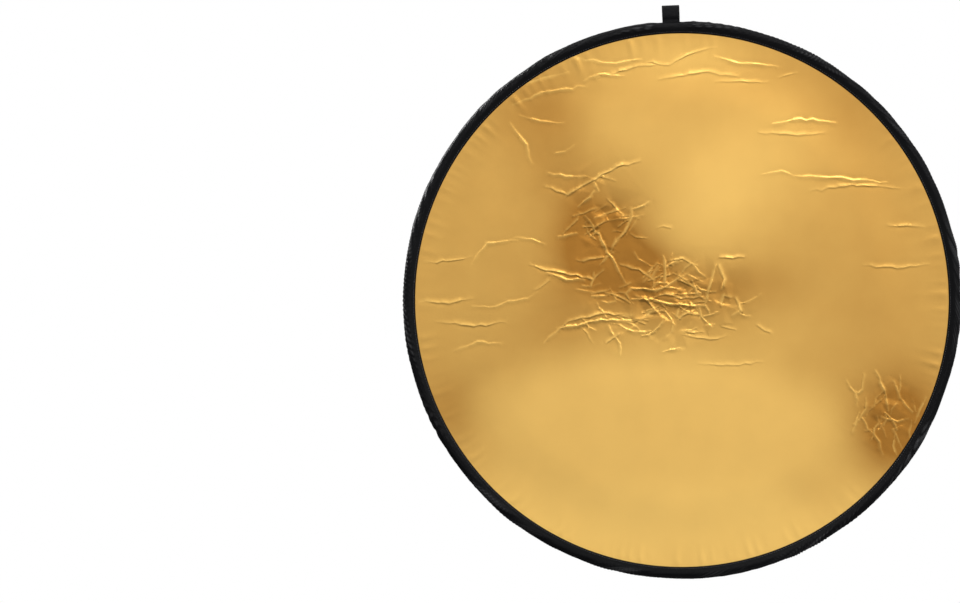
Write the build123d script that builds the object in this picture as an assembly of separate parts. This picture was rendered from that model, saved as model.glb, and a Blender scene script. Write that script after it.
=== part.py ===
"""A round collapsible light reflector: a translucent diffuser on a steel hoop, inside a zipped cover.

Millimetres. The disc stands upright in the XZ plane with its hanging loop at +Z. The gold face looks
along -Y and the white face along +Y. The origin is the disc's centre. Round pieces are turned about the
Y axis, and an angle on the disc is counted from the lowest point (-Z) towards +X. The front cover folds
down about a line 2.7 mm in front of the binding, along X at the height FOLD_Z.
"""

import os

from build123d import *

# Driving dimensions
COVER_R = 400.0  # outer radius of the cover's rim: an 80 cm reflector
RIM_WIDTH = 16.5  # width of the black edge seen from the front
CLOTH = 0.4  # thickness of every face cloth
GAP = 0.1  # room between cloths that are sewn together

# The hoop: a flat spring-steel band in a sewn casing round the translucent cloth
BAND_THICK = 1.2
BAND_END_GAP = 0.1  # degrees on each side of the joint between the band's two ends
BAND_WIDTH = 5.0
BAND_R = 386.4  # inner radius of the band
SLEEVE_WALL = 0.75
SLEEVE_HALF_ARC = 3.0  # degrees
BAND_CLEARANCE = 0.05
CASING_WALL = 0.9
CASING_R = 390.5
CASING_HALF_DEPTH = 4.2
CASING_BEVEL = 1.0
CASING_FLANGE_R = 372.5
CASING_FLANGE_HALF = 1.2
CASING_SLOPE = 3.0  # width of the slope from the flange up to the tube round the band
DIFFUSER_R = 382.0
DIFFUSER_SLOT = 0.35  # half the width of the slot that the cloth's edge sits in

# Depth of each layer, from the gold face (-Y) to the white face (+Y)
FRONT_Y = -8.3
BINDING_DEPTH = 0.9
BINDING_BEVEL = 0.8
CLOTH_EDGE_ROOM = 0.3  # between a cloth's edge and the step that holds it
STEP_WIDTH = 2.2
GOLD_Y = FRONT_Y + BINDING_DEPTH + GAP
SILVER_Y = GOLD_Y + CLOTH + GAP
BACK_BINDING_Y = CASING_HALF_DEPTH + 0.35
BACK_LEG = 0.3
BLACK_Y = BACK_BINDING_Y + BACK_LEG + GAP / 2
WHITE_Y = BLACK_Y + CLOTH + GAP
BACK_BINDING_END_Y = WHITE_Y + CLOTH + GAP / 2 + BACK_LEG
PANEL_R = 386.0  # the gold and silver cloths
BACK_PANEL_R = 388.0  # the black and white cloths
BACK_BINDING_R = 390.2

# The zip lies in the back of the rim, between the hoop and the side wall
ZIP_R = 394.5
TAPE_THICK = 0.6
TAPE_Y = BACK_BINDING_END_Y + GAP / 2
TAPE_MID_Y = TAPE_Y + TAPE_THICK / 2
COIL_WIDTH = 1.4
COIL_THICK = 1.6
COIL_GAP = 1.4  # between the two rows of coil, where the slider's wedge runs
GUSSET_THICK = 1.4
GUSSET_END_Y = TAPE_Y - GAP / 2

# Where the cover's two halves stay sewn together, and fold
FOLD_Z = -386.6
FOLD_GAP = 0.15  # each side of the fold line
SEWN_HALF_ARC = 14.9  # degrees
SEWN_TAPE_WIDTH = 12.8
SEAM_ARC = 0.2  # degrees between the sewn stretch and the side wall
ZIP_START = 16.0
ZIP_END = 360.0 - ZIP_START
STOP_ARC = 0.4  # degrees taken by an end stop

# The slider, at the closed end of the zip
SLIDER_AT = 342.3
SLIDER_LENGTH = 9.0
SLIDER_HALF_WIDTH = 3.4
SLIDER_CORNER = 1.2
RAIL_INSET = 1.2  # from the slider's ends to its rails
PLATE_THICK = 0.8
PLATE_CLEARANCE = 0.2
RAIL_WIDTH = 0.6
RAIL_GAP = 0.2  # between a rail and the tape
WEDGE_WIDTH = 0.8
WEDGE_LENGTH = 3.0
WEDGE_INSET = 0.5
BRIDGE_LENGTH = 6.0
BRIDGE_WIDTH = 1.4
BRIDGE_THICK = 0.85
BRIDGE_ROOM = 1.35  # height under the bridge
BRIDGE_FOOT = 1.1
PULL_PIN_R = 0.5
PULL_WIDTH = 5.0
PULL_THICK = 0.9
PULL_LENGTH = 24.0
PULL_SLOT = 3.6  # from the pin to the solid part of the pull
PULL_ARM = 0.9
PULL_HOLE_R = 1.4
PULL_HOLE_EDGE = 2.0  # from the hole to the end of the pull

# Webbing loops
LOOP_WIDTH = 25.0
WEBBING = 1.2
LOOP_Y = -1.0
LOOP_PIVOT_Z = COVER_R + 1.5
LOOP_BASE_R = 1.2
LOOP_HALF_DEPTH = 3.9
LOOP_SHOULDER = 9.0  # height above the pivot where the loop is at its full depth
LOOP_TOP = 22.5  # height of the loop above the pivot
LOOP_PINCH = 3.2  # height above the pivot where the loop's two sides meet
TAIL_LENGTH = 8.0
TAIL_SLOT = 0.15  # room round the tail in the side wall
INNER_PLY = 0.75
INNER_LOOP_GAP = 0.3
INNER_LOOP_LENGTH = 24.0
INNER_LOOP_ROOM = 0.15  # between the folded loop and the casing
INNER_LOOP_FOLD = 1.2  # from the loop's fold to its eye
INNER_LOOP_SEAM = 3.0  # from the loop's sewn end to its eye
INNER_LOOP_Z = CASING_R + 1.1
PATCH_THICK = 0.6
PATCH_FRONT_Y = -3.6
PATCH_BACK_Y = 2.0
PATCH_ROOM = 0.05

# Larger than the whole part, for cutting it
REACH = COVER_R + 50


def section(*corners):
    """A flat face with these (radius, y) corners, ready to be turned about Y."""
    return make_face(Polyline(*corners, close=True))


def rectangle(r0, r1, y0, y1):
    return section((r0, y0), (r1, y0), (r1, y1), (r0, y1))


def turned(face, start=0.0, end=360.0):
    """The face turned about Y, from one angle on the disc to another."""
    return Rot(0, 90 - end, 0) * revolve(face, Axis.Y, revolution_arc=end - start)


def cloth(radius, y):
    """A round face cloth whose front is at y."""
    return Pos(0, y, 0) * Rot(-90, 0, 0) * extrude(Circle(radius), CLOTH)


def block(x0, x1, y0, y1, z0, z1):
    size = (x1 - x0, y1 - y0, z1 - z0)
    middle = ((x0 + x1) / 2, (y0 + y1) / 2, (z0 + z1) / 2)
    return Pos(*middle) * Box(*size)


def at_angle(shape, angle):
    """Moves a shape modelled at the disc's lowest point to an angle on the disc."""
    return Rot(0, -angle, 0) * shape


def above_fold(shape):
    """The part of a ring that folds down with the front cover."""
    return shape & block(-REACH, REACH, -REACH, REACH, FOLD_Z + FOLD_GAP, REACH)


def below_fold(shape):
    """The part of a ring that stays sewn to the back cover."""
    return shape & block(-REACH, REACH, -REACH, REACH, -REACH, FOLD_Z - FOLD_GAP)


# The diffuser: the steel hoop, its casing and the translucent cloth


def spring_steel_band():
    face = rectangle(BAND_R, BAND_R + BAND_THICK, -BAND_WIDTH / 2, BAND_WIDTH / 2)
    return turned(face, BAND_END_GAP, 360 - BAND_END_GAP)


def band_splice_sleeve():
    """The crimped sleeve that joins the two ends of the band."""
    c = BAND_CLEARANCE
    half = BAND_WIDTH / 2
    inner = rectangle(BAND_R - c, BAND_R + BAND_THICK + c, -half - c, half + c)
    wall = SLEEVE_WALL
    outer = rectangle(BAND_R - wall, BAND_R + BAND_THICK + wall, -half - wall, half + wall)
    return turned(outer - inner, -SLEEVE_HALF_ARC, SLEEVE_HALF_ARC)


def diffuser_binding():
    """A folded tape: a tube round the band, and a flange on each side of the cloth's edge."""
    tube_r = BAND_R - SLEEVE_WALL - BAND_CLEARANCE - CASING_WALL
    channel_r = tube_r + CASING_WALL
    channel_end = BAND_R + BAND_THICK + SLEEVE_WALL + BAND_CLEARANCE
    channel_half = CASING_HALF_DEPTH - CASING_WALL
    outer = section(
        (CASING_FLANGE_R, -CASING_FLANGE_HALF),
        (tube_r - CASING_SLOPE, -CASING_FLANGE_HALF),
        (tube_r, -CASING_HALF_DEPTH),
        (CASING_R - CASING_BEVEL, -CASING_HALF_DEPTH),
        (CASING_R, -CASING_HALF_DEPTH + CASING_BEVEL),
        (CASING_R, CASING_HALF_DEPTH - CASING_BEVEL),
        (CASING_R - CASING_BEVEL, CASING_HALF_DEPTH),
        (tube_r, CASING_HALF_DEPTH),
        (tube_r - CASING_SLOPE, CASING_FLANGE_HALF),
        (CASING_FLANGE_R, CASING_FLANGE_HALF),
    )
    channel = rectangle(channel_r, channel_end, -channel_half, channel_half)
    slot_end = DIFFUSER_R + CLOTH_EDGE_ROOM
    slot = rectangle(CASING_FLANGE_R - 1, slot_end, -DIFFUSER_SLOT, DIFFUSER_SLOT)
    return turned(outer - channel - slot)


def diffuser_fabric():
    return cloth(DIFFUSER_R, -CLOTH / 2)


def diffuser_loop():
    """The hoop's own webbing loop, folded down in front of the casing inside the closed cover."""
    back = -CASING_HALF_DEPTH - INNER_LOOP_ROOM
    front = back - 2 * INNER_PLY - INNER_LOOP_GAP
    top = INNER_LOOP_Z
    bottom = top - INNER_LOOP_LENGTH
    half = LOOP_WIDTH / 2
    outer = block(-half, half, front, back, bottom, top)
    low, high = bottom + INNER_LOOP_FOLD, top - INNER_LOOP_SEAM
    return outer - block(-half, half, front + INNER_PLY, back - INNER_PLY, low, high)


def diffuser_loop_patch():
    """The loop's sewn end, over the top of the casing."""
    half = LOOP_WIDTH / 2
    start = CASING_R + PATCH_ROOM
    strip = turned(rectangle(start, start + PATCH_THICK, PATCH_FRONT_Y, PATCH_BACK_Y))
    return strip & block(-half, half, -REACH, REACH, 0, REACH)


# The back cover: white outside, black inside


def white_back_panel():
    return cloth(BACK_PANEL_R, WHITE_Y)


def black_inner_panel():
    return cloth(BACK_PANEL_R, BLACK_Y)


def back_edge_binding():
    """A tape folded round the edge of the white and black cloths."""
    inner_r = COVER_R - RIM_WIDTH
    leg = BACK_LEG
    web_r = BACK_PANEL_R + CLOTH_EDGE_ROOM
    return turned(
        section(
            (inner_r, BACK_BINDING_Y),
            (BACK_BINDING_R, BACK_BINDING_Y),
            (BACK_BINDING_R, BACK_BINDING_END_Y),
            (inner_r, BACK_BINDING_END_Y),
            (inner_r, BACK_BINDING_END_Y - leg),
            (web_r, BACK_BINDING_END_Y - leg),
            (web_r, BACK_BINDING_Y + leg),
            (inner_r, BACK_BINDING_Y + leg),
        )
    )


def rim_sewn_section():
    """The short stretch at the bottom where front and back are sewn for good."""
    half = SEWN_HALF_ARC
    inner_r = COVER_R - RIM_WIDTH
    front = turned(rectangle(inner_r, COVER_R, FRONT_Y, FRONT_Y + BINDING_DEPTH), -half, half)
    wall = turned(rectangle(COVER_R - GUSSET_THICK, COVER_R, FRONT_Y, TAPE_Y), -half, half)
    tape = rectangle(COVER_R - SEWN_TAPE_WIDTH, COVER_R, TAPE_Y, TAPE_Y + TAPE_THICK)
    back = turned(tape, -half, half)
    return below_fold(front + wall) + back


# The front cover: gold outside, silver inside


def gold_front_panel():
    return cloth(PANEL_R, GOLD_Y)


def silver_inner_panel():
    return cloth(PANEL_R, SILVER_Y)


def front_edge_binding():
    """The black edge seen from the front, with a step that holds the edges of the two cloths."""
    inner_r = COVER_R - RIM_WIDTH
    step_r = PANEL_R + CLOTH_EDGE_ROOM
    step_y = SILVER_Y + CLOTH
    face = section(
        (inner_r, FRONT_Y),
        (COVER_R - BINDING_BEVEL, FRONT_Y),
        (COVER_R, FRONT_Y + BINDING_BEVEL),
        (COVER_R, FRONT_Y + BINDING_DEPTH),
        (step_r + STEP_WIDTH, FRONT_Y + BINDING_DEPTH),
        (step_r + STEP_WIDTH, step_y),
        (step_r, step_y),
        (step_r, FRONT_Y + BINDING_DEPTH),
        (inner_r, FRONT_Y + BINDING_DEPTH),
    )
    return above_fold(turned(face))


def rim_gusset():
    """The side wall from the front edge to the zip, with a slot for the hanging loop's tail."""
    wall = rectangle(COVER_R - GUSSET_THICK, COVER_R, FRONT_Y + BINDING_DEPTH + GAP, GUSSET_END_Y)
    start = SEWN_HALF_ARC + SEAM_ARC
    ring = turned(wall, start, 360 - start)
    half = LOOP_WIDTH / 2 + TAIL_SLOT
    depth = WEBBING + TAIL_SLOT
    slot = block(-half, half, LOOP_Y - depth, LOOP_Y + depth, 0, REACH)
    return above_fold(ring) - slot


def hanging_loop_tail():
    """The webbing's two ends, sewn inside the rim."""
    half = LOOP_WIDTH / 2
    top = COVER_R - 0.2
    return block(-half, half, LOOP_Y - WEBBING, LOOP_Y + WEBBING, top - TAIL_LENGTH, top)


def hanging_loop():
    """A webbing loop: a pinched base, and an eye that runs right through along X."""
    pivot = Plane.YZ.offset(-LOOP_WIDTH / 2)
    bulge = LOOP_HALF_DEPTH
    crown = LOOP_TOP - bulge
    outline = [
        (-LOOP_BASE_R, 0),
        (-bulge, LOOP_SHOULDER),
        (-bulge, crown),
    ]
    outer = make_face(
        [
            Polyline(*outline),
            RadiusArc((-bulge, crown), (bulge, crown), bulge),
            Polyline((bulge, crown), (bulge, LOOP_SHOULDER), (LOOP_BASE_R, 0)),
            RadiusArc((LOOP_BASE_R, 0), (-LOOP_BASE_R, 0), LOOP_BASE_R),
        ]
    )
    eye_half = bulge - WEBBING
    eye = make_face(
        [
            Polyline((0, LOOP_PINCH), (-eye_half, LOOP_SHOULDER), (-eye_half, crown)),
            RadiusArc((-eye_half, crown), (eye_half, crown), eye_half),
            Polyline((eye_half, crown), (eye_half, LOOP_SHOULDER), (0, LOOP_PINCH)),
        ]
    )
    flat = pivot * (outer - eye)
    return Pos(0, LOOP_Y, LOOP_PIVOT_Z) * extrude(flat, LOOP_WIDTH)


# The zip


def coil_row(side):
    """One half of the zip's coil. Side is -1 for the back cover's half and 1 for the front cover's."""
    near = ZIP_R + side * COIL_GAP / 2
    far = near + side * COIL_WIDTH
    y0 = TAPE_MID_Y - COIL_THICK / 2
    face = rectangle(min(near, far), max(near, far), y0, y0 + COIL_THICK)
    return turned(face, ZIP_START + STOP_ARC, ZIP_END - STOP_ARC)


def inner_zip_tape():
    edge = ZIP_R - COIL_GAP / 2 - COIL_WIDTH
    face = rectangle(COVER_R - RIM_WIDTH + 1, edge, TAPE_Y, TAPE_Y + TAPE_THICK)
    return turned(face, ZIP_START, ZIP_END)


def outer_zip_tape():
    edge = ZIP_R + COIL_GAP / 2 + COIL_WIDTH
    face = rectangle(edge, COVER_R, TAPE_Y, TAPE_Y + TAPE_THICK)
    return turned(face, ZIP_START, ZIP_END)


def stop_face(r0, r1):
    y0 = TAPE_MID_Y - COIL_THICK / 2
    return rectangle(r0, r1, y0, y0 + COIL_THICK)


def zip_bottom_stop():
    """The staple across both tapes where the zip starts. It stays on the back cover."""
    gap = COIL_GAP / 2
    face = stop_face(ZIP_R - gap - COIL_WIDTH, ZIP_R - gap)
    return turned(face, ZIP_START, ZIP_START + STOP_ARC)


def inner_top_stop():
    gap = COIL_GAP / 2
    face = stop_face(ZIP_R - gap - COIL_WIDTH, ZIP_R - gap)
    return turned(face, ZIP_END - STOP_ARC, ZIP_END)


def outer_top_stop():
    gap = COIL_GAP / 2
    face = stop_face(ZIP_R + gap, ZIP_R + gap + COIL_WIDTH)
    return turned(face, ZIP_END - STOP_ARC, ZIP_END)


def slider_body():
    """Two plates, the wedge between the coils, and rails that leave a slit for each tape."""
    half_l = SLIDER_LENGTH / 2
    half_w = SLIDER_HALF_WIDTH
    low = TAPE_MID_Y - COIL_THICK / 2 - PLATE_CLEARANCE
    high = TAPE_MID_Y + COIL_THICK / 2 + PLATE_CLEARANCE
    z = -ZIP_R
    front = block(-half_l, half_l, low - PLATE_THICK, low, z - half_w, z + half_w)
    back = block(-half_l, half_l, high, high + PLATE_THICK, z - half_w, z + half_w)
    corners = (front + back).edges().filter_by(Axis.Y)
    plates = fillet(corners, SLIDER_CORNER)
    wedge = WEDGE_WIDTH / 2
    tip = half_l - WEDGE_INSET
    body = plates + block(tip - WEDGE_LENGTH, tip, low, high, z - wedge, z + wedge)
    rail_end = half_l - RAIL_INSET
    slit = TAPE_THICK / 2 + RAIL_GAP
    for side in (-1, 1):
        edge = z + side * half_w
        inside = edge - side * RAIL_WIDTH
        z0, z1 = min(edge, inside), max(edge, inside)
        body += block(-rail_end, rail_end, low, TAPE_MID_Y - slit, z0, z1)
        body += block(-rail_end, rail_end, TAPE_MID_Y + slit, high, z0, z1)
    return at_angle(body, SLIDER_AT)


def plate_back_y():
    return TAPE_MID_Y + COIL_THICK / 2 + PLATE_CLEARANCE + PLATE_THICK


def slider_bridge():
    """The arch that holds the pull."""
    base = plate_back_y()
    half_l = BRIDGE_LENGTH / 2
    half_w = BRIDGE_WIDTH / 2
    top = base + BRIDGE_ROOM + BRIDGE_THICK
    z = -ZIP_R
    arch = block(-half_l, half_l, base, top, z - half_w, z + half_w)
    ends = arch.edges().filter_by(Axis.Z).group_by(Axis.Y)[-1]
    arch = fillet(ends, SLIDER_CORNER)
    inside = half_l - BRIDGE_FOOT
    hollow = block(-inside, inside, base - 1, base + BRIDGE_ROOM, z - half_w, z + half_w)
    return at_angle(arch - hollow, SLIDER_AT)


def pull_axis_y():
    return plate_back_y() + BRIDGE_ROOM / 2


def zip_pull():
    """The pull tab: a pin under the bridge, two arms, and a rounded tab with a hole."""
    y = pull_axis_y()
    z = -ZIP_R
    half_w = PULL_WIDTH / 2
    pin = Pos(0, y, z) * Cylinder(PULL_PIN_R, PULL_WIDTH)
    low, high = y - PULL_THICK / 2, y + PULL_THICK / 2
    tab = block(PULL_SLOT, PULL_LENGTH, low, high, z - half_w, z + half_w)
    tab = fillet(tab.edges().filter_by(Axis.Y).group_by(Axis.X)[-1], half_w - GAP)
    hole_x = PULL_LENGTH - PULL_HOLE_EDGE - PULL_HOLE_R
    tab -= Pos(hole_x, y, z) * Rot(90, 0, 0) * Cylinder(PULL_HOLE_R, 2 * PULL_THICK)
    pull = tab + pin
    for side in (-1, 1):
        edge = z + side * half_w
        inside = edge - side * PULL_ARM
        pull += block(0, PULL_SLOT, low, high, min(edge, inside), max(edge, inside))
    return at_angle(pull, SLIDER_AT)


PIECES = {
    "white_back_panel": white_back_panel,
    "black_inner_panel": black_inner_panel,
    "back_edge_binding": back_edge_binding,
    "rim_sewn_section": rim_sewn_section,
    "inner_zip_tape": inner_zip_tape,
    "inner_zip_coil": lambda: coil_row(-1),
    "inner_top_stop": inner_top_stop,
    "zip_bottom_stop": zip_bottom_stop,
    "gold_front_panel": gold_front_panel,
    "silver_inner_panel": silver_inner_panel,
    "front_edge_binding": front_edge_binding,
    "rim_gusset": rim_gusset,
    "outer_zip_tape": outer_zip_tape,
    "outer_zip_coil": lambda: coil_row(1),
    "outer_top_stop": outer_top_stop,
    "hanging_loop_tail": hanging_loop_tail,
    "hanging_loop": hanging_loop,
    "diffuser_fabric": diffuser_fabric,
    "diffuser_binding": diffuser_binding,
    "spring_steel_band": spring_steel_band,
    "band_splice_sleeve": band_splice_sleeve,
    "diffuser_loop_patch": diffuser_loop_patch,
    "diffuser_loop": diffuser_loop,
    "slider_body": slider_body,
    "slider_bridge": slider_bridge,
    "zip_pull": zip_pull,
}


def main():
    os.makedirs("parts", exist_ok=True)
    for name, make in PIECES.items():
        export_step(make(), f"parts/{name}.step")


main()
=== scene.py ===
"""A collapsible light reflector, dressed for rendering: gold face forward, hanging loop up.

Metres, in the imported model's frame: the disc's centre is the origin, -Y is out of the gold face and +Z is
up to the loop. An angle on the disc is counted from the lowest point (-Z) towards +X. Round pieces are swept
from closed outlines of (radius, y) points. Cloths are triangulated from points along their creases.
"""

import math

import bmesh
import bpy
import numpy as np
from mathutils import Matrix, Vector, geometry


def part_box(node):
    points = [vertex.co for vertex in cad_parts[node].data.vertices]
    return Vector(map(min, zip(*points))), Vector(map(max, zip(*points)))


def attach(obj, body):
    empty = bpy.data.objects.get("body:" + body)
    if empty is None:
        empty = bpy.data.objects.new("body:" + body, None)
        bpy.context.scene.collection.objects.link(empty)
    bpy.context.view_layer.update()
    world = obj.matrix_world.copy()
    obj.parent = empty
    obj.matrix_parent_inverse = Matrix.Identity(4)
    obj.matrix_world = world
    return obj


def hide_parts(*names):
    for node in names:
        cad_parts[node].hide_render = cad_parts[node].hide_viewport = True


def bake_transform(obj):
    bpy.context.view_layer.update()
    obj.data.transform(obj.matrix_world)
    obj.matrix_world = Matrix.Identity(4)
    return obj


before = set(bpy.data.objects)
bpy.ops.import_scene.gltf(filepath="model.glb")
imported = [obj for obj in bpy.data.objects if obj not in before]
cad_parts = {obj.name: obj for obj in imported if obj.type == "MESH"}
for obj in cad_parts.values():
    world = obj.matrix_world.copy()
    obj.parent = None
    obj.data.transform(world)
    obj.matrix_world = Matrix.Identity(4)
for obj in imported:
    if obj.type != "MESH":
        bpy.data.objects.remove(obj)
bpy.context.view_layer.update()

MM = 0.001
TURN = 2 * math.pi


def reach(node):
    """The outer radius of a round CAD node."""
    return max(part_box(node)[1].x, -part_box(node)[0].x)


def depth(node):
    """The lowest and highest y of a CAD node."""
    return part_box(node)[0].y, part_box(node)[1].y


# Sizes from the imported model
RIM_R = reach("front_edge_binding")
RIM_FRONT = depth("front_edge_binding")[0]
WALL_BACK = depth("rim_gusset")[1]
FACE_R = reach("gold_front_panel")
GOLD_Y = depth("gold_front_panel")[0]
SILVER_Y = depth("silver_inner_panel")[1]
BACK_FACE_R = reach("white_back_panel")
WHITE_Y = depth("white_back_panel")[1]
BLACK_Y = depth("black_inner_panel")[0]
BACK_BINDING_R = reach("back_edge_binding")
BACK_BINDING_Y = depth("back_edge_binding")
TAPE_Y = depth("outer_zip_tape")
COIL_Y = depth("outer_zip_coil")
INNER_TAPE_R = reach("inner_zip_tape")
OUTER_COIL_R = reach("outer_zip_coil")
DIFFUSER_R = reach("diffuser_fabric")
CASING_R = reach("diffuser_binding")
CASING_Y = depth("diffuser_binding")[1]
LOOP_LOW, LOOP_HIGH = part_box("hanging_loop")
INNER_LOOP_LOW, INNER_LOOP_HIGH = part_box("diffuser_loop")

# Sizes of the sewing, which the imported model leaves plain
RIM_WIDTH = 16.5 * MM
RIM_INNER = RIM_R - RIM_WIDTH
FRONT_HELD_R = FACE_R - RIM_WIDTH / 4
BACK_HELD_R = BACK_FACE_R - RIM_WIDTH / 4
RIM_BULGE = 2.0 * MM
CLOTH = 0.3 * MM
BINDING = 0.8 * MM
WEBBING = 1.2 * MM
THREAD = 0.45 * MM
STITCH = 2.4 * MM
STITCH_PITCH = 3.6 * MM
ZIP_START = 16.0
SEWN_HALF_ARC = 14.9
COIL_PITCH = 1.6 * MM
CASING_FLANGE_R = 372.5 * MM
# Sides of a thread, and of a turn of the zip's coil
SIDES = 6

# Studio
CAMERA_DISTANCE = 7.0
VIEW_WIDTH = 1.380
DISC_RIGHT = 0.290
DISC_UP = 0.002
DISC_ROLL = 2.2
FLOOR_Z = -1.28
FLOOR_SIZE = 20.0
FLOOR_FADE = (1.5, 6.0)


# Meshes


def add_mesh(name, verts, faces, material, closed=True):
    """A mesh object from arrays of points and faces. A closed one is smooth, with its faces outward."""
    mesh = bpy.data.meshes.new(name)
    mesh.from_pydata(np.asarray(verts).tolist(), [], faces)
    mesh.polygons.foreach_set("use_smooth", [closed] * len(mesh.polygons))
    mesh.update()
    if closed:
        shape = bmesh.new()
        shape.from_mesh(mesh)
        if shape.calc_volume(signed=True) < 0:
            mesh.flip_normals()
        shape.free()
    mesh.materials.append(material)
    obj = bpy.data.objects.new(name, mesh)
    bpy.context.scene.collection.objects.link(obj)
    return obj


def ring_faces(rows, columns, whole=False):
    """The quads between closed rings of points. The row of rings closes too, or its ends get caps."""
    i = np.arange(rows if whole else rows - 1)[:, None]
    j = np.arange(columns)[None, :]
    after_i, after_j = (i + 1) % rows, (j + 1) % columns
    corners = [i * columns + j, i * columns + after_j, after_i * columns + after_j, after_i * columns + j]
    faces = np.stack(corners, -1).reshape(-1, 4).tolist()
    if not whole:
        faces += [list(range(columns - 1, -1, -1)), list(range((rows - 1) * columns, rows * columns))]
    return faces


def repeat_faces(faces, size, count):
    """The faces of count copies of a mesh of size points."""
    return [[base + k for k in face] for base in range(0, count * size, size) for face in faces]


def round_disc(radius, angle, y):
    """Points at the given radius and angle on the disc."""
    y = np.broadcast_to(y, angle.shape)
    return np.stack([radius * np.sin(angle), y, -radius * np.cos(angle)], -1).reshape(-1, 3)


def assign(obj, body, slot, *nodes):
    """Puts a piece on its body and lets it stand for its CAD nodes."""
    if body:
        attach(obj, body)
    if nodes:
        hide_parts(*nodes)


def store(obj, name, kind, domain, values):
    """Stores numbers or vectors on the mesh, for its material."""
    attribute = obj.data.attributes.new(name, kind, domain)
    attribute.data.foreach_set("value" if kind == "FLOAT" else "vector", values.astype(np.float32).ravel())


def along_path(path):
    """The distance from the start of a path to each of its points."""
    return np.concatenate([[0], np.cumsum(np.linalg.norm(np.diff(path, axis=0), axis=1))])


def directions(path):
    """The unit tangents of a path, and the normals to its left."""
    tangent = np.gradient(path, axis=0)
    tangent /= np.linalg.norm(tangent, axis=1)[:, None]
    return tangent, np.stack([-tangent[:, 1], tangent[:, 0]], 1)


def store_swept_places(obj, outline, turn, whole):
    """Stores each corner's place on a swept cloth, with no jump where the sweep or its outline closes."""
    columns = len(outline)
    corners = np.zeros(len(obj.data.loops), np.int32)
    obj.data.loops.foreach_get("vertex_index", corners)
    quads = len(turn) * columns if whole else (len(turn) - 1) * columns
    first = corners[: 4 * quads].reshape(-1, 4)
    row, column = first // columns, first % columns
    row[(row == 0) & (row.max(axis=1) == len(turn) - 1)[:, None] & whole] = len(turn)
    column[(column == 0) & (column.max(axis=1) == columns - 1)[:, None]] = columns
    across = along_path(np.concatenate([outline, outline[:1]]))
    around = np.append(turn, TURN) * RIM_R
    data = np.zeros((len(corners), 3), np.float32)
    data[: 4 * quads, 0] = around[row].ravel()
    data[: 4 * quads, 1] = across[column].ravel()
    store(obj, "cloth", "FLOAT_VECTOR", "CORNER", data)


def smooth_path(points, steps):
    """A smooth curve through the points, evenly spaced, as an array."""
    p = np.asarray(points, float)
    p = np.concatenate([[2 * p[0] - p[1]], p, [2 * p[-1] - p[-2]]])
    fine = []
    for i in range(1, len(p) - 2):
        t = np.linspace(0, 1, 24, endpoint=False)[:, None]
        a, b, c, d = p[i - 1], p[i], p[i + 1], p[i + 2]
        bend = (2 * a - 5 * b + 4 * c - d) * t**2 + (3 * b - a - 3 * c + d) * t**3
        fine.append(0.5 * (2 * b + (c - a) * t + bend))
    fine = np.concatenate([*fine, p[-2:-1]])
    along = along_path(fine)
    even = np.linspace(0, along[-1], steps)
    return np.stack([np.interp(even, along, fine[:, k]) for k in range(2)], 1)


def strip_outline(path, thick):
    """The closed outline of a strip of cloth round an open path, with softened ends."""
    tangent, normal = directions(path)
    half = thick / 2
    first = path[:1] - tangent[:1] * half
    last = path[-1:] + tangent[-1:] * half
    return np.concatenate([path + normal * half, last, (path - normal * half)[::-1], first])


def sweep(name, outline, steps, material, start=0.0, end=360.0, shape=None):
    """Sweeps a closed outline of (radius, y) points round the disc.

    shape(angle, index, radius, y) gives back every point's moved radius and y, and how far it was lifted.
    """
    whole = end - start >= 360
    rows = steps if whole else steps + 1
    turn = np.radians(np.linspace(start, end, rows, endpoint=not whole))
    columns = len(outline)
    angle, index = np.meshgrid(turn, np.arange(columns), indexing="ij")
    radius = np.broadcast_to(outline[:, 0], angle.shape)
    y = np.broadcast_to(outline[:, 1], angle.shape)
    lift = np.zeros(angle.shape)
    if shape:
        radius, y, lift = shape(angle, index, radius, y)
    obj = add_mesh(name, round_disc(radius, angle, y), ring_faces(rows, columns, whole), material)
    store_swept_places(obj, outline, turn, whole)
    store(obj, "lift", "FLOAT", "POINT", lift / MM)
    return obj


def periodic_noise(rng, low, high, count):
    """A smooth random function of the angle round the disc, between about -1 and 1."""
    waves = rng.integers(low, high + 1, count)
    phase = rng.uniform(0, TURN, count)
    weight = rng.uniform(0.4, 1.0, count)

    def value(angle):
        total = sum(w * np.sin(n * angle + p) for n, p, w in zip(waves, phase, weight))
        return total / np.sqrt((weight**2).sum())

    return value


def smoothstep(low, high, value):
    t = np.clip((value - low) / (high - low), 0, 1)
    return t * t * (3 - 2 * t)


# Materials


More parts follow.
